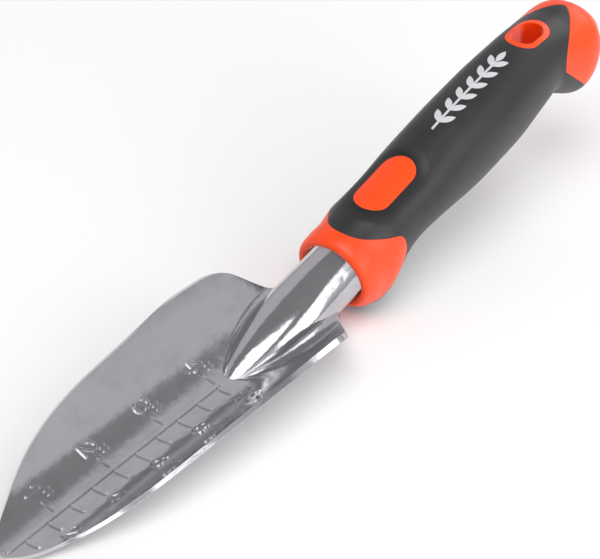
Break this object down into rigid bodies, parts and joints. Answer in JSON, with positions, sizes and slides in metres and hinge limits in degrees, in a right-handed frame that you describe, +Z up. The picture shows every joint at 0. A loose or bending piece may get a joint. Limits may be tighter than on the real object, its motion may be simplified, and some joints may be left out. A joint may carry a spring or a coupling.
{
  "type": "hand trowel",
  "caption": "Hand trowel with a cast trough blade carrying a raised depth scale, a hard orange handle core under a soft dark grip with a finger guard, and a hang hole through the butt.",
  "frame": {"origin": "bottom centre of the box around the trowel as it lies on a flat surface", "axes": "+X from the blade's tip towards the handle's butt, +Y to the left when looking along +X, +Z up out of the trough"},
  "size_m": [0.299, 0.053, 0.0622],
  "materials": {
    "blade_metal": "polished casting",
    "core_plastic": "satin moulded orange",
    "grip_rubber": "matte moulded dark grey"
  },
  "bodies": {
    "root": {"blade": "blade_metal", "handle_core": "core_plastic", "soft_grip": "grip_rubber"}
  },
  "joints": []
}
